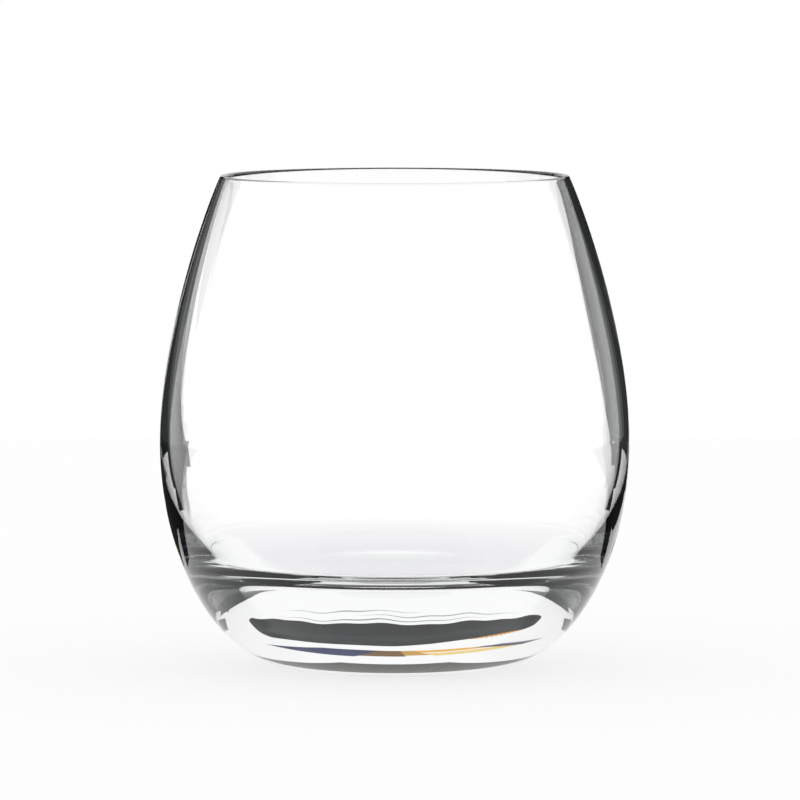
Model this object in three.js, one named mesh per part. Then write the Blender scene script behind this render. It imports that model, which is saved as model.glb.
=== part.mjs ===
import * as THREE from "three";

// Double old fashioned glass: one piece of clear glass, in millimetres, +Z up, standing on z = 0.
// A heavy base and a round bowl draw in to a thin, fire-polished rim.

// Outside
const HEIGHT = 99.6;
const BELLY_DIAMETER = 95;
const BELLY_HEIGHT = 45.8;
const RIM_DIAMETER = 70.6;
const RIM_LEAN = 24.6; // degrees that the wall leans inwards at the rim
const RIM_STRAIGHT = 6; // length below the rim that keeps close to that lean

// Foot
const FOOT_DIAMETER = 39;
const FOOT_RING_WIDTH = 1.5; // flat ring that the glass stands on
const PUNT_DEPTH = 0.2; // very shallow hollow inside the ring

// Wall and floor
const RIM_WALL = 1.3;
const BELLY_WALL = 2;
const HEEL_WALL = 3.9;
const HEEL_HEIGHT = 24.9; // below this the inside leaves the wall and turns in to the floor
const FLOOR_HEIGHT = 19.7;
const CORNER_DROP = 0.78; // share of the way down to the floor at which the wall's line turns
const FLOOR_REACH = 0.98; // share of the heel's radius that the level floor reaches towards

// Facets
const AROUND = 72;
const CURVE_STEPS = 11;
const RIM_STEPS = 8;
const HEEL_STEPS = 5;
const PUNT_STEPS = 5;

const bellyRadius = BELLY_DIAMETER / 2;
const footRadius = FOOT_DIAMETER / 2;
const rimRadius = RIM_DIAMETER / 2;
const puntRadius = footRadius - FOOT_RING_WIDTH;
const lean = THREE.MathUtils.degToRad(RIM_LEAN);
const point = (r, z) => new THREE.Vector2(r, z);

// Quarter ellipse that is upright at the belly, about a centre above the edge of the foot.
// Its turn runs from 0 at the belly to 90 degrees at the foot.
function bowl(radius, depth) {
  const width = radius - footRadius;
  return {
    at: (turn) => point(footRadius + width * Math.cos(turn), BELLY_HEIGHT - depth * Math.sin(turn)),
    along: (turn) => point(-width * Math.sin(turn), -depth * Math.cos(turn)).normalize(),
    bellyBend: (depth * depth) / width,
  };
}

// Wall from the belly up to the rim. It takes on the bowl's own bend at the belly, so no line shows there.
function shoulder(radius, bend, end) {
  const below = point(end.x + RIM_STRAIGHT * Math.sin(lean), end.y - RIM_STRAIGHT * Math.cos(lean));
  const rise = Math.sqrt((2 / 3) * (radius - below.x) * bend);
  const start = point(radius, BELLY_HEIGHT);
  const above = point(radius, BELLY_HEIGHT + rise);
  return new THREE.CubicBezierCurve(start, above, below, end).getPoints(CURVE_STEPS);
}

function along(curve, from, to, steps) {
  return Array.from({ length: steps + 1 }, (_, i) => curve(from + ((to - from) * i) / steps));
}

// Underside: a very shallow dome inside the flat ring.
const punt = along((r) => point(r, PUNT_DEPTH * (1 - (r / puntRadius) ** 2)), 0, puntRadius, PUNT_STEPS);

// Rim: half a circle, square to the leaning wall, with its top at the full height.
const lipRadius = RIM_WALL / 2;
const lipCentre = point(rimRadius - lipRadius * Math.cos(lean), HEIGHT - lipRadius);
const onLip = (turn) =>
  point(lipCentre.x + lipRadius * Math.cos(turn), lipCentre.y + lipRadius * Math.sin(turn));
const lip = along(onLip, lean, lean + Math.PI, RIM_STEPS);

// Outside: bowl, then shoulder.
const outerBowl = bowl(bellyRadius, BELLY_HEIGHT);
const outside = along(outerBowl.at, Math.PI / 2, 0, CURVE_STEPS);
const outerShoulder = shoulder(bellyRadius, outerBowl.bellyBend, lip[0]);

// Inside: an ellipse through the belly wall and the heel wall keeps the wall even down to the heel.
const innerRadius = bellyRadius - BELLY_WALL;
const heelSine = (BELLY_HEIGHT - HEEL_HEIGHT) / BELLY_HEIGHT;
const heelRadius = outerBowl.at(Math.asin(heelSine)).x - HEEL_WALL;
const heelTurn = Math.acos((heelRadius - footRadius) / (innerRadius - footRadius));
const innerBowl = bowl(innerRadius, (BELLY_HEIGHT - HEEL_HEIGHT) / Math.sin(heelTurn));
const innerShoulder = shoulder(innerRadius, innerBowl.bellyBend, lip[RIM_STEPS]).reverse();
const innerWall = along(innerBowl.at, 0, heelTurn, HEEL_STEPS);

// Floor: one curve from the heel, along the wall's line, round to a level middle.
const heel = innerBowl.at(heelTurn);
const downhill = innerBowl.along(heelTurn);
const drop = (CORNER_DROP * (HEEL_HEIGHT - FLOOR_HEIGHT)) / -downhill.y;
const corner = point(heel.x + drop * downhill.x, heel.y + drop * downhill.y);
const floorEdge = point(FLOOR_REACH * heelRadius, FLOOR_HEIGHT);
const middle = point(0, FLOOR_HEIGHT);
const floor = new THREE.CubicBezierCurve(heel, corner, floorEdge, middle).getPoints(CURVE_STEPS);

// One closed outline, from the middle of the underside round to the middle of the floor.
const outline = [
  ...punt,
  ...outside,
  ...outerShoulder.slice(1),
  ...lip.slice(1),
  ...innerShoulder.slice(1),
  ...innerWall.slice(1),
  ...floor.slice(1),
];

const glass = new THREE.MeshStandardMaterial({
  name: "clear_glass",
  color: 0xeef3f1,
  roughness: 0.03,
  metalness: 0,
  transparent: true,
  opacity: 0.4,
});

const tumbler = new THREE.Mesh(new THREE.LatheGeometry(outline, AROUND).rotateX(Math.PI / 2), glass);
tumbler.name = "tumbler_glass";

const group = new THREE.Group();
group.name = "double_old_fashioned_glass";
group.add(tumbler);

export default group;
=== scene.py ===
# %% [markdown]
# # A double old fashioned glass
# This glass is one piece of clear glass: a heavy base, a round bowl and a wall that draws in to a
# thin, fire-polished rim. Nothing on it moves, so the lesson is about two things: a smooth turned
# form, and a studio that lets clear glass show its shape.
# The measured part comes first. It fixes the size, and everything shown later stays inside its box.

# %% Load the measured part
import math

import bmesh
import bpy
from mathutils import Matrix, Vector


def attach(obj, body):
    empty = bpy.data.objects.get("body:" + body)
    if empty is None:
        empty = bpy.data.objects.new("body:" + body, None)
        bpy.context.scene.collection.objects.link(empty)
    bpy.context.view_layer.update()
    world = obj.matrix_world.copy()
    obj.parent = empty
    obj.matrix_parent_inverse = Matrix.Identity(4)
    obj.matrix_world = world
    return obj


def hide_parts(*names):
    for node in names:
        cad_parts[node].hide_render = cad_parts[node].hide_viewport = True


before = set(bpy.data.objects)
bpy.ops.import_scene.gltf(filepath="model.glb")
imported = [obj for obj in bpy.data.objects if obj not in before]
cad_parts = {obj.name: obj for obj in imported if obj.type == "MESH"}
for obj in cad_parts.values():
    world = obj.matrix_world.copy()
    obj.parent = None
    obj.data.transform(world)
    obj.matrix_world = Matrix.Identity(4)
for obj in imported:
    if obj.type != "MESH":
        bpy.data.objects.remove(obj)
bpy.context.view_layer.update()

# %% [markdown]
# ## The outline of the glass
# A glass like this is blown or pressed in a round mould, so one outline turned about the upright
# axis gives all of it. The measured part has flat facets, which bent light would show as stripes,
# so the same outline is drawn again here with many more points. Every size is in millimetres.
# The outside of the bowl is a quarter of an ellipse that ends level at the foot.

# %% Sizes of the glass
HEIGHT = 99.6
BELLY_RADIUS = 47.5
BELLY_HEIGHT = 45.8
FOOT_RADIUS = 19.5
FOOT_RING_WIDTH = 1.5
PUNT_DEPTH = 0.2
PUNT_STEPS = 12
RING_STEPS = 3
CURVE_STEPS = 44

punt_radius = FOOT_RADIUS - FOOT_RING_WIDTH


def sweep(curve, start, end, steps):
    """Points of a curve at even steps of its own measure."""
    return [curve(start + (end - start) * i / steps) for i in range(steps + 1)]


def punt(r):
    """Very shallow hollow under the glass, by its distance from the middle."""
    return (r, PUNT_DEPTH * (1 - (r / punt_radius) ** 2))


def bowl(radius, depth):
    """Ellipse that is upright at the belly, by its turn: 0 there and 90 degrees at the foot."""
    return lambda turn: (FOOT_RADIUS + (radius - FOOT_RADIUS) * math.cos(turn),
                         BELLY_HEIGHT - depth * math.sin(turn))


underside = sweep(punt, 0, punt_radius, PUNT_STEPS)
ring = sweep(lambda r: (r, 0.0), punt_radius, FOOT_RADIUS, RING_STEPS)
outer_bowl = bowl(BELLY_RADIUS, BELLY_HEIGHT)
outside = sweep(outer_bowl, math.pi / 2, 0, CURVE_STEPS)
print("outside runs from", outside[0], "to", outside[-1])

# %% [markdown]
# ## Shoulder and rim
# Above the belly the wall leans in. A cubic curve makes it, and its first handle is just long
# enough to give the bend that the ellipse has at the belly. Reflections then run across the join
# without a break. The rim was melted round in a flame, so it is half a circle.

# %% Shoulder and rim
RIM_RADIUS = 35.3
RIM_LEAN = math.radians(24.6)
RIM_STRAIGHT = 6
RIM_WALL = 1.3
RIM_STEPS = 16

lip_radius = RIM_WALL / 2
lip_middle = (RIM_RADIUS - lip_radius * math.cos(RIM_LEAN), HEIGHT - lip_radius)


def cubic(a, b, c, d):
    """Cubic curve from a to d with handles b and c."""
    def at(t):
        shares = ((1 - t) ** 3, 3 * t * (1 - t) ** 2, 3 * t * t * (1 - t), t ** 3)
        return tuple(sum(share * v for share, v in zip(shares, axis)) for axis in zip(a, b, c, d))
    return at


def shoulder(radius, depth, end):
    """Wall from the belly to the rim, with the ellipse's own bend at the belly."""
    bend = depth ** 2 / (radius - FOOT_RADIUS)
    below = (end[0] + RIM_STRAIGHT * math.sin(RIM_LEAN), end[1] - RIM_STRAIGHT * math.cos(RIM_LEAN))
    rise = math.sqrt(2 / 3 * (radius - below[0]) * bend)
    return cubic((radius, BELLY_HEIGHT), (radius, BELLY_HEIGHT + rise), below, end)


def on_lip(turn):
    """Round of the rim by its turn about the middle of the lip."""
    return (lip_middle[0] + lip_radius * math.cos(turn), lip_middle[1] + lip_radius * math.sin(turn))


lip = sweep(on_lip, RIM_LEAN, RIM_LEAN + math.pi, RIM_STEPS)
outer_shoulder = sweep(shoulder(BELLY_RADIUS, BELLY_HEIGHT, lip[0]), 0, 1, CURVE_STEPS)
print("rim is", round(2 * lip_middle[0], 2), "mm across its top")

# %% [markdown]
# ## Inside and floor
# The inside follows the wall down to the heel and then turns in to a floor that is nearly level.
# This is the curve that makes the heavy base look as it does: it is the upper face of a thick
# lens. A second ellipse keeps the wall even, and one cubic curve turns it into the floor.

# %% Inside and floor
BELLY_WALL = 2.0
HEEL_WALL = 3.9
HEEL_HEIGHT = 24.9
HEEL_STEPS = 20
FLOOR_HEIGHT = 19.7
CORNER_DROP = 0.78
FLOOR_REACH = 0.98

inner_radius = BELLY_RADIUS - BELLY_WALL
heel_radius = outer_bowl(math.asin(1 - HEEL_HEIGHT / BELLY_HEIGHT))[0] - HEEL_WALL
heel_turn = math.acos((heel_radius - FOOT_RADIUS) / (inner_radius - FOOT_RADIUS))
inner_depth = (BELLY_HEIGHT - HEEL_HEIGHT) / math.sin(heel_turn)
inner_shoulder = sweep(shoulder(inner_radius, inner_depth, lip[-1]), 1, 0, CURVE_STEPS)
inner_wall = sweep(bowl(inner_radius, inner_depth), 0, heel_turn, HEEL_STEPS)

heel = inner_wall[-1]
slope = (inner_radius - FOOT_RADIUS) * math.sin(heel_turn) / (inner_depth * math.cos(heel_turn))
drop = CORNER_DROP * (HEEL_HEIGHT - FLOOR_HEIGHT)
corner = (heel[0] - slope * drop, heel[1] - drop)
floor_curve = cubic(heel, corner, (FLOOR_REACH * heel_radius, FLOOR_HEIGHT), (0, FLOOR_HEIGHT))
floor = sweep(floor_curve, 0, 1, CURVE_STEPS)
print("wall at the heel", HEEL_WALL, "mm, base", FLOOR_HEIGHT - PUNT_DEPTH, "mm thick in the middle")

# %% [markdown]
# ## Turning the outline
# Spinning the outline about the Z axis is what a lathe does. A Screw modifier could do it too, but
# a spin leaves a plain mesh that can be measured at once. The points on the axis are merged, the
# faces are turned outwards, and smooth shading lets light bend as on a curved surface.

# %% Turn the glass
AROUND = 192
MERGE_METRES = 1e-7
outline = (underside + ring[1:] + outside[1:] + outer_shoulder[1:] + lip[1:]
           + inner_shoulder[1:] + inner_wall[1:] + floor[1:])
mesh = bpy.data.meshes.new("tumbler_glass_smooth")
turned = bmesh.new()
points = [turned.verts.new((r / 1000, 0, z / 1000)) for r, z in outline]
lines = [turned.edges.new(pair) for pair in zip(points, points[1:])]
bmesh.ops.spin(turned, geom=points + lines, cent=(0, 0, 0), axis=(0, 0, 1), angle=2 * math.pi,
               steps=AROUND, use_merge=True)
bmesh.ops.remove_doubles(turned, verts=turned.verts, dist=MERGE_METRES)
bmesh.ops.recalc_face_normals(turned, faces=turned.faces)
print("glass volume", round(turned.calc_volume() * 1e6, 1), "cm3,", len(turned.faces), "faces")
turned.to_mesh(mesh)
turned.free()
mesh.shade_smooth()
tumbler = bpy.data.objects.new("tumbler_glass_smooth", mesh)
bpy.context.scene.collection.objects.link(tumbler)
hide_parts("tumbler_glass")
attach(tumbler, "root")

# %% [markdown]
# ## Colours and nodes
# Colours are written as hex codes, as a paint program shows them. Blender's shaders count in linear
# light, so one function turns a code into that. A second one adds a node and joins it to others,
# which keeps each material as short as a recipe.

# %% Colours and nodes
def linear(code):
    """Linear colour of an sRGB hex code such as 'f4f6f5'."""
    parts = [int(code[i:i + 2], 16) / 255 for i in (0, 2, 4)]
    return [p / 12.92 if p <= 0.04045 else ((p + 0.055) / 1.055) ** 2.4 for p in parts] + [1.0]


def add(material, kind, inputs=(), **settings):
    """Adds a node, sets its inputs by value or by a link from another socket, and returns it."""
    tree = material.node_tree
    made = tree.nodes.new(kind)
    for name, value in settings.items():
        setattr(made, name, value)
    for name, value in dict(inputs).items():
        if isinstance(value, bpy.types.NodeSocket):
            tree.links.new(value, made.inputs[name])
        else:
            made.inputs[name].default_value = value
    return made


def new_material(name):
    """Empty node material."""
    made = bpy.data.materials.new(name)
    made.use_nodes = True
    made.node_tree.nodes.clear()
    return made


print("middle grey 808080 is", round(linear("808080")[0], 3), "in linear light")

# %% [markdown]
# ## The glass itself
# Soda-lime glass is the common clear glass for drinking. It bends light by an IOR of about 1.52
# and is smooth as it leaves the mould and the flame. Two things keep it from looking like a
# computed solid: faint waves from the mould, a few hundredths of a millimetre high, and a trace of
# green and grey that shows only where light runs a long way through it, as in the base.

# %% Material of the glass
WAVE_WIDTH = 14.0
WAVE_HEIGHT = 0.02
glass = new_material("soda_lime_glass_fire_polished")
place = add(glass, "ShaderNodeTexCoord").outputs["Object"]
waves = add(glass, "ShaderNodeTexNoise", {"Vector": place, "Scale": 1000 / WAVE_WIDTH, "Detail": 1.0})
surface = add(glass, "ShaderNodeBump", {
    "Height": waves.outputs["Fac"], "Strength": 1.0, "Distance": WAVE_HEIGHT / 1000})
face = add(glass, "ShaderNodeBsdfPrincipled", {
    "Base Color": linear("ffffff"), "Roughness": 0.0, "IOR": 1.52, "Transmission Weight": 1.0,
    "Normal": surface.outputs["Normal"]})
body = add(glass, "ShaderNodeVolumeAbsorption", {"Color": linear("dfeae4"), "Density": 2.0})
add(glass, "ShaderNodeOutputMaterial", {"Surface": face.outputs[0], "Volume": body.outputs[0]})
mesh.materials.append(glass)
print("glass bends light by", face.inputs["IOR"].default_value)

# %% [markdown]
# ## A white room
# Clear glass has no colour of its own to light. It shows what stands round it, so the whole room
# is white at the level of plain white paper, and no lamp is needed. Only light that is turned more
# than once inside the wall and the base comes from a dark part of the room. That makes the dark
# line round the heel. Light goes through many faces of a glass, so it may bend and turn often.
# Light that crossed more than two faces went through the bowl and not only through wall or base.

# %% Room
TWO_FACES = 2.5
NO_TURN = 0.5
ONE_TURN = 1.5
DARK_STUDIO = "16181a"
scene = bpy.context.scene
scene.view_settings.view_transform = "Standard"
scene.cycles.max_bounces = 32
scene.cycles.transmission_bounces = 32
scene.cycles.glossy_bounces = 16
scene.cycles.use_denoising = True

room = bpy.data.worlds.new("white_room")
room.use_nodes = True
room.node_tree.nodes.clear()
ray = add(room, "ShaderNodeLightPath")
turns = ray.outputs["Glossy Depth"]
faces = ray.outputs["Transmission Depth"]
often = add(room, "ShaderNodeMath", {0: turns, 1: ONE_TURN}, operation="GREATER_THAN")
crossed = add(room, "ShaderNodeMath", {0: faces, 1: TWO_FACES}, operation="GREATER_THAN")
deep = add(room, "ShaderNodeMath", {0: often.outputs[0], 1: crossed.outputs[0]}, operation="SUBTRACT")
light = add(room, "ShaderNodeBackground", {"Color": linear("ffffff"), "Strength": 1.0})
dark = add(room, "ShaderNodeBackground", {"Color": linear(DARK_STUDIO), "Strength": 1.0})
both = add(room, "ShaderNodeMixShader", {0: deep.outputs[0], 1: light.outputs[0], 2: dark.outputs[0]})
add(room, "ShaderNodeOutputWorld", {"Surface": both.outputs[0]})
scene.world = room
print("room is white at strength", light.inputs["Strength"].default_value)

# %% [markdown]
# ## White paper
# The glass stands on white paper. To the camera the paper is partly lit from within, as a light
# table is, so only a faint shadow stays where the foot touches it. Through the glass the paper has
# a painted shadow of the heavy base: it is painted a little greyer close to the foot, and a smooth
# step by the distance from the middle fades that grey out.

# %% Paper of the table
LIT_SHARE = 0.75
PAINTED_SHADOW_RADIUS = 80
paper = new_material("white_paper_light_table_painted_shadow")
ray = add(paper, "ShaderNodeLightPath")
matt = add(paper, "ShaderNodeBsdfDiffuse", {"Color": linear("fafafb")})
lit = add(paper, "ShaderNodeEmission", {"Color": linear("ffffff"), "Strength": 1.0})
direct = add(paper, "ShaderNodeMath", {
    0: ray.outputs["Is Camera Ray"], 1: ray.outputs["Is Glossy Ray"]}, operation="MAXIMUM")
share = add(paper, "ShaderNodeMath", {0: direct.outputs[0], 1: LIT_SHARE}, operation="MULTIPLY")
bare = add(paper, "ShaderNodeMixShader", {0: share.outputs[0], 1: matt.outputs[0], 2: lit.outputs[0]})
# Painted shadow of the glass on the paper: grey near the foot, fading outwards, seen only through the
# glass.
place = add(paper, "ShaderNodeTexCoord").outputs["Object"]
reach = add(paper, "ShaderNodeVectorMath", {0: place}, operation="LENGTH")
painted_shadow_fade = add(paper, "ShaderNodeMapRange", {
    "Value": reach.outputs["Value"], "From Max": PAINTED_SHADOW_RADIUS / 1000}, interpolation_type="SMOOTHSTEP")
shade = add(paper, "ShaderNodeMix", {
    0: painted_shadow_fade.outputs[0], 6: linear("dadae0"), 7: linear("ffffff")}, data_type="RGBA")
under = add(paper, "ShaderNodeEmission", {"Color": shade.outputs[2], "Strength": 1.0})
seen = add(paper, "ShaderNodeMixShader", {
    0: ray.outputs["Is Transmission Ray"], 1: bare.outputs[0], 2: under.outputs[0]})
add(paper, "ShaderNodeOutputMaterial", {"Surface": seen.outputs[0]})
print("paper is grey under the glass up to", PAINTED_SHADOW_RADIUS, "mm from its middle")

# %% [markdown]
# ## A table
# The table is one round sheet, a hair below the foot. The cards that come later are sheets too, so
# one function makes them all from a rule that gives a point for each place along and across. Most
# of them stand round the glass, and an azimuth and a distance place them best.

# %% Table
TABLE_RADIUS = 600
TABLE_SIDES = 96
TABLE_DROP = 0.05


def around(azimuth, radius, height):
    """Point in mm by its azimuth in degrees, counted from straight behind the glass to the right."""
    turn = math.radians(azimuth)
    return (radius * math.sin(turn), radius * math.cos(turn), height)


def sheet(name, point, material, along, across=1):
    """Sheet of paper or card through point(u, v), where u and v run from 0 to 1."""
    corners = [[x / 1000 for x in point(i / along, j / across)]
               for i in range(along + 1) for j in range(across + 1)]
    row = across + 1
    faces = [(i * row + j, i * row + j + 1, (i + 1) * row + j + 1, (i + 1) * row + j)
             for i in range(along) for j in range(across)]
    made = bpy.data.meshes.new(name)
    made.from_pydata(corners, [], faces)
    made.materials.append(material)
    card = bpy.data.objects.new(name, made)
    scene.collection.objects.link(card)
    return card


sheet("table", lambda u, v: around(360 * u, TABLE_RADIUS * v, -TABLE_DROP), paper, TABLE_SIDES)
print("table is", 2 * TABLE_RADIUS, "mm across")

# %% [markdown]
# ## Cards for clear glass
# In a white room a clear glass would vanish. Photographers stand dark cards just outside the
# picture, and the curved edges of the glass pick them up as dark lines. This is called bright
# field lighting. The cards are hidden from the camera and cast no shadow.
# Light reaches the eye from them in several ways, and a photographer moves a card until it shows
# in one and not in another. Here each card says which way shows it. "plain" leaves out only the
# faint second images inside the bowl. "table" also leaves out what the wall and base mirror.
# "base" shows a card only where the thick base or the wall acts as a mirror, and "deep" only where
# light is turned more than once.

# %% How a card is hung
cards = []


def hang(name, point, code, along=32, across=12, rule="plain", mirrored=True):
    """Hangs a card of one colour where only the glass sees it, in the way that its rule says.

    A card that isn't mirrored shows only to light that came through the glass."""
    colour = new_material(name + "_card")
    path = add(colour, "ShaderNodeLightPath")
    turns = path.outputs["Glossy Depth"]
    faces = path.outputs["Transmission Depth"]
    limit = ONE_TURN if rule == "deep" else NO_TURN
    turned = add(colour, "ShaderNodeMath", {0: turns, 1: limit}, operation="GREATER_THAN")
    crossed = add(colour, "ShaderNodeMath", {0: faces, 1: TWO_FACES}, operation="GREATER_THAN")
    flat = add(colour, "ShaderNodeEmission", {"Color": linear(code), "Strength": 1.0})
    air = add(colour, "ShaderNodeBsdfTransparent")
    if rule in ("base", "deep"):
        shown = add(colour, "ShaderNodeMath", {
            0: turned.outputs[0], 1: crossed.outputs[0]}, operation="SUBTRACT")
        both = {0: shown.outputs[0], 1: air.outputs[0], 2: flat.outputs[0]}
    else:
        way = path.outputs["Is Transmission Ray"] if rule == "table" else crossed.outputs[0]
        left_out = add(colour, "ShaderNodeMath", {0: turned.outputs[0], 1: way}, operation="MULTIPLY")
        both = {0: left_out.outputs[0], 1: flat.outputs[0], 2: air.outputs[0]}
    seen = add(colour, "ShaderNodeMixShader", both)
    add(colour, "ShaderNodeOutputMaterial", {"Surface": seen.outputs[0]})
    card = sheet(name, point, colour, along, across)
    card.visible_camera = False
    card.visible_diffuse = False
    card.visible_shadow = False
    card.visible_glossy = mirrored
    cards.append(card)


def between(a, b, share):
    """Value that lies a share of the way from a to b."""
    return a + (b - a) * share


print("a card is shown by one of four rules: plain, table, base or deep")

# %% [markdown]
# ## Cards at the sides
# The wall shows each side card as a dark line at its very edge with a grey band inside it. Where
# the card begins decides how far the band reaches in, so each height has its own azimuth, and the
# two sides differ as they would on a real set. The foot of each card rises outwards, so that the
# white room still shows in the corners of the base. A skirt that only the bowl sees fills in below.
# The left card stands higher, because the base shows more white at its right end. A narrow strip
# close to the glass makes up for that in the wall.

# %% Side cards
CARD_RADIUS = 130
CARD_TOPS = (125, 125)
GREY_FEET = (35, 44)
BLACK_FEET = (44, 44)
SKIRT_FEET = (23, 23)
BLACK_WIDTH = 5
DARK, GREY, BLACK = "2e3031", "707273", "1c1e1f"
NEAR_RADIUS = 75
NEAR_TOP = 43


def right_edges(height):
    """Azimuths of the edges of the right card's dark, grey and black strips at one height."""
    inner = between(31.7, 22.7, (height - 30) / 65)
    outer = min(70, 58 + 0.4 * (112 - height))
    return inner, 47, outer - BLACK_WIDTH, outer


def left_edges(height):
    """The same for the left card, whose dark strip begins further out half way up."""
    inner = -26.5 - 6.5 * math.sin(math.pi * max(0, height - 35) / 62)
    middle = -38 - 0.25 * (99 - height)
    outer = -48 - 0.36 * (108 - height)
    return inner, middle, outer + BLACK_WIDTH, outer


def upright(edges, strip, feet, tops=CARD_TOPS):
    """One strip of a side card. Feet and tops are its heights at the inner and the outer edge."""
    def point(u, v):
        height = between(between(*feet, u), between(*tops, u), v)
        inner, outer = edges(height)[strip:strip + 2]
        return around(between(inner, outer, u), CARD_RADIUS, height)
    return point


def near_strip(u, v):
    """Narrow strip close to the left of the glass, whose foot rises outwards."""
    foot = between(35, 40, u)
    return around(between(-50, -66, u), NEAR_RADIUS, between(foot, NEAR_TOP, v))


for edges, side, feet in ((right_edges, "right", (26, 35)), (left_edges, "left", (33, 36))):
    hang("wall_dark_" + side, upright(edges, 0, feet), DARK)
    hang("wall_grey_" + side, upright(edges, 1, GREY_FEET), GREY)
    hang("wall_black_" + side, upright(edges, 2, BLACK_FEET), BLACK)
    hang("wall_skirt_" + side, upright(edges, 0, SKIRT_FEET, feet), DARK, rule="table")
hang("wall_near_left", near_strip, BLACK, 12, 2, "base")
print("side cards stand", CARD_RADIUS, "mm from the middle")

# %% [markdown]
# ## Cards on the table
# Below the belly the wall leans the other way and looks down at the table. Dark cards lie there on
# both sides of a white strip, so the dark edge runs on down to the heel. A low card stands where
# the wall's inner face looks, and leaves a bright stroke between two dark lines.
# Cards that lie over each other have heights of their own, a fraction of a millimetre apart.

# %% Table cards
TABLE_CARD = "2c2e2f"
CARD_REACH = 590
NEAR_DEPTH = 110
NEAR_EDGE_START = 100
NEAR_EDGE_SLANT = 0.2
LYING_HEIGHT = 0.5
FAN_AZIMUTH = 47
SIDE_START = 100
SIDE_HEIGHT = 0.45
END_TOP = 60
LOW_CARD = (6, 40)


def right_clear(y):
    """Half width of the white strip behind the glass, on the right."""
    return 95 + 0.095 * y


def left_clear(y):
    """The same on the left."""
    return 64 + 0.115 * max(0, y - 90)


def lying(clear, sign, near, far):
    """Card on one side of the white strip, with a near edge that runs back outwards."""
    def point(u, v):
        x = between(clear(between(near, far, v)), CARD_REACH, u)
        start = near + NEAR_EDGE_SLANT * (x - NEAR_EDGE_START)
        return (sign * x, between(start, far, v), LYING_HEIGHT)
    return point


def fan(sign, first, last, radii, heights):
    """Card between two azimuths, from one radius and height to another."""
    return lambda u, v: around(sign * between(first, last, u), between(*radii, v), between(*heights, v))


for clear, sign, side in ((right_clear, 1, "right"), (left_clear, -1, "left")):
    near, far = lying(clear, sign, 0, NEAR_DEPTH), lying(clear, sign, NEAR_DEPTH, CARD_REACH)
    level = fan(sign, FAN_AZIMUTH, 58, (SIDE_START, CARD_REACH), (SIDE_HEIGHT, SIDE_HEIGHT))
    end = fan(sign, FAN_AZIMUTH, 57, (CARD_REACH, CARD_REACH), (0, END_TOP))
    low = fan(sign, FAN_AZIMUTH, 64, (CARD_RADIUS, CARD_RADIUS), LOW_CARD)
    hang("table_near_" + side, near, TABLE_CARD, 12, 20, "table", mirrored=False)
    hang("table_far_" + side, far, TABLE_CARD, 12, 40, "table")
    hang("table_side_" + side, level, TABLE_CARD, 12, 2)
    hang("table_end_" + side, end, TABLE_CARD, 12, 2)
    hang("table_wall_" + side, low, TABLE_CARD, 12, 2)
print(len(cards), "cards so far")

# %% [markdown]
# ## The dark line round the heel
# At the heel light runs round inside the glass and leaves it in all directions. On a real set most
# of it ends in the dark studio outside the lit table, so the heel is dark. These cards are the dark
# studio for that light only. A wedge behind the glass stays open and gives the line its gleam, and
# because the wedge narrows away from the glass, the gleam runs out to a point at both ends.

# %% Dark studio for the heel
WEDGE_HALF_WIDTHS = (16, 3)
WEDGE_ENDS = (-100, 560)
FRONT_EDGE = -45
DEEP_HEIGHT = 0.6


def flat_card(x0, x1, y0, y1, height):
    """Level rectangle."""
    return lambda u, v: (between(x0, x1, u), between(y0, y1, v), height)


def beside_wedge(sign):
    """Level card on one side of the open wedge."""
    def point(u, v):
        x = between(between(*WEDGE_HALF_WIDTHS, v), TABLE_RADIUS, u)
        return (sign * x, between(*WEDGE_ENDS, v), DEEP_HEIGHT)
    return point


in_front = flat_card(-TABLE_RADIUS, TABLE_RADIUS, -TABLE_RADIUS, FRONT_EDGE, DEEP_HEIGHT)
hang("deep_right", beside_wedge(1), DARK_STUDIO, 2, 2, "deep")
hang("deep_left", beside_wedge(-1), DARK_STUDIO, 2, 2, "deep")
hang("deep_front", in_front, DARK_STUDIO, 2, 2, "deep")
print("heel looks into a dark studio")

# %% [markdown]
# ## The dark bar in the base
# The thick base mirrors what lies behind the glass, turned left to right. Beyond the far edge of
# the white table there is a low dark gap, and the base shows it as a long dark bar. Its lower edge
# climbs to one side. Three tones of nearly the same dark keep it from looking printed.

# %% Dark gap behind the table
FAR = 2500


def gap_top(azimuth):
    """Elevation of the gap's uneven upper edge in degrees, as the glass sees it."""
    uneven = 0.2 * math.sin(azimuth / 3) + 0.12 * math.sin(azimuth / 1.3)
    return 4.2 + (1.8 if azimuth < 0 else 0.9) * (azimuth / 36) ** 2 + uneven


def gap_bottom(azimuth):
    """Elevation of its lower edge."""
    return -0.8 - 0.085 * min(0, azimuth)


def far_off(azimuth, elevation):
    """Point far behind the table by its azimuth and elevation in degrees."""
    return around(azimuth, FAR, FAR * math.tan(math.radians(elevation)))


def gap(low, high):
    """Band of the gap between two shares of its height, with leaning, rounded ends."""
    def point(u, v):
        share = between(low, high, v)
        rounded = 1 - 0.08 * abs(2 * share - 1) ** 4
        azimuth = rounded * between(-32 - 5 * share, 30 + 7 * share, u)
        return far_off(azimuth, between(gap_bottom(azimuth), gap_top(azimuth), share))
    return point


hang("gap_low", gap(0, 0.3), "0e1415", along=64, rule="base")
hang("gap_middle", gap(0.3, 0.55), "1e2629", along=64, rule="base")
hang("gap_high", gap(0.55, 1), "060a0b", along=64, rule="base")
print("gap is", round(gap_top(0) - gap_bottom(0), 1), "degrees high")

# %% [markdown]
# ## White cloth above the bar
# White cloth hangs above the gap, and it is simply the white room. Three thin grey lines are
# painted shade for its folds. A dark card high up on each side rounds off the corners of the white
# that the base shows.

# %% Painted fold shade and corners
CORNER_TOP = 17.5
CORNER_BEND = 35
CORNER_CARD = "2a3031"
FOLD_WIDTH = 0.8


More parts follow.
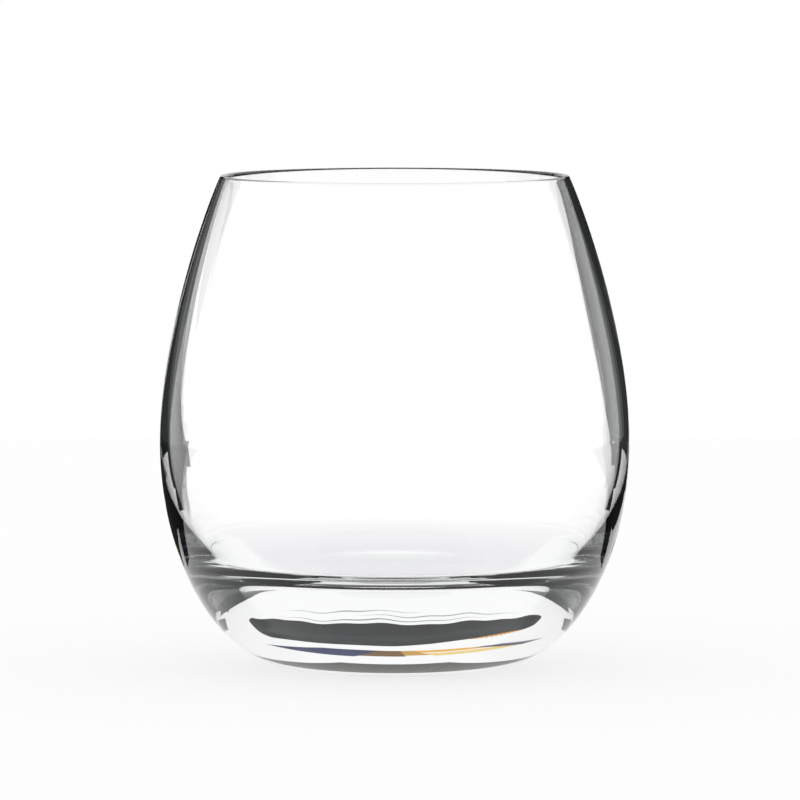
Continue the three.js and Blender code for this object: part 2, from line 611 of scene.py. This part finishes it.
def high_corner(sign, level):
    """Dark card high up on one side, whose lower edge falls outwards past its level at the bend."""
    def point(u, v):
        azimuth = between(29, 54, u)
        past = azimuth - CORNER_BEND
        low = level - 0.25 * max(0, past) + 0.8 * max(0, -past)
        return far_off(sign * azimuth, between(low, CORNER_TOP, v))
    return point


def fold(level, first, last):
    """Thin grey line above the gap, painted shade like a fold in the cloth, that runs out at both ends.
    """
    def point(u, v):
        azimuth = between(first, last, u)
        return far_off(azimuth, gap_top(azimuth) + level + FOLD_WIDTH * (v - 0.5) * u * (1 - u))
    return point


hang("high_corner_right", high_corner(1, 11.5), CORNER_CARD, rule="base")
hang("high_corner_left", high_corner(-1, 13), CORNER_CARD, rule="base")
# Painted shade: three grey lines standing for folds in the white cloth.
hang("painted_fold_shade_low", fold(0.7, -20, 26), "9a9da3", 64, 2, "base")
hang("painted_fold_shade_middle", fold(1.5, -28, 8), "a4a7ad", 64, 2, "base")
hang("painted_fold_shade_high", fold(2.3, -6, 24), "b4b7bc", 64, 2, "base")
print("folds are", FOLD_WIDTH / 4, "degrees wide in the middle")

# %% [markdown]
# ## Colours under the bar
# Real glass bends blue light more than red, so the edge of a dark bar seen through a thick base
# breaks into colours. One IOR bends all colours alike, so strips of coloured card on the table
# stand in for that, and a thin toothed strip far off gives the amber edge of the bar itself. The
# olive strip is a painted contact shadow: it gives the dull, shaded line just above the foot.

# %% Coloured strips
STRIP_HEIGHT = 0.4


def strip(name, code, x0, x1, y0, y1):
    """Strip on the table that shows only in the base."""
    hang(name, flat_card(x0, x1, y0, y1, STRIP_HEIGHT), code, 2, 2, "base")


def amber_edge(u, v):
    """Toothed strip along the lower edge of the dark gap."""
    azimuth = between(-29, -15, u)
    teeth = 0.5 * abs(math.sin(2.6 * azimuth)) * math.sin(math.pi * u)
    return far_off(azimuth, gap_bottom(azimuth) - v * (0.15 + teeth))


strip("fringe_violet", "20285a", 16, 72, 170, 330)
strip("fringe_brown", "724f18", -5, 16, 185, 330)
strip("fringe_gold", "c8983a", -18, -5, 200, 330)
strip("fringe_amber", "f2b23c", -72, -18, 255, 330)
strip("fringe_straw", "f4d488", -72, -18, 180, 235)
strip("fringe_slate", "454a5f", -92, -72, 175, 310)
strip("fringe_lilac", "8e8c99", -108, -92, 175, 300)
# Painted contact shadow of the foot, which the base shows as a dull line.
strip("olive_painted_contact_shadow", "40423a", -9.5, 9.5, 54, 104)
hang("fringe_edge", amber_edge, "dc9a2c", 120, 2, "base")
print(len(cards), "cards in all")

# %% [markdown]
# ## Camera
# The photograph looks almost level, from a little over a metre and a half away, through a long
# lens. The camera stands a millimetre to one side, which puts the glass just left of the middle.

# %% Camera
DISTANCE = 1600
ELEVATION = math.radians(4.59)
SENSOR = 36
LENS = 356.0
SIDESTEP = 1.07
MIDDLE_HEIGHT = 45
AIM_HEIGHT = 54.13
camera = bpy.data.objects.new("camera", bpy.data.cameras.new("camera"))
scene.collection.objects.link(camera)
camera.data.sensor_width = SENSOR
camera.data.lens = LENS
camera.data.clip_end = 100
back = DISTANCE * math.cos(ELEVATION)
above = MIDDLE_HEIGHT + DISTANCE * math.sin(ELEVATION)
camera.location = (SIDESTEP / 1000, -back / 1000, above / 1000)
aim = Vector((SIDESTEP / 1000, 0, AIM_HEIGHT / 1000))
camera.rotation_euler = (aim - camera.location).to_track_quat("-Z", "Y").to_euler()
scene.camera = camera
print("camera at", [round(1000 * v) for v in camera.location], "mm")

# %% [markdown]
# ## Turntable for the cards
# A photographer who wants a glass from all sides turns the glass and leaves the camera and the cards
# where they are. Here it is the camera that walks round, so the cards stand on a turntable that
# keeps facing it. The glass is round, so both ways show the same. A Locked Track constraint does
# this: it turns the turntable about the upright axis only.

# %% Turntable
turntable = bpy.data.objects.new("turntable", None)
scene.collection.objects.link(turntable)
facing = turntable.constraints.new("LOCKED_TRACK")
facing.target = camera
facing.track_axis = "TRACK_NEGATIVE_Y"
facing.lock_axis = "LOCK_Z"
for card in cards:
    card.parent = turntable
print(len(cards), "cards stand on the turntable")
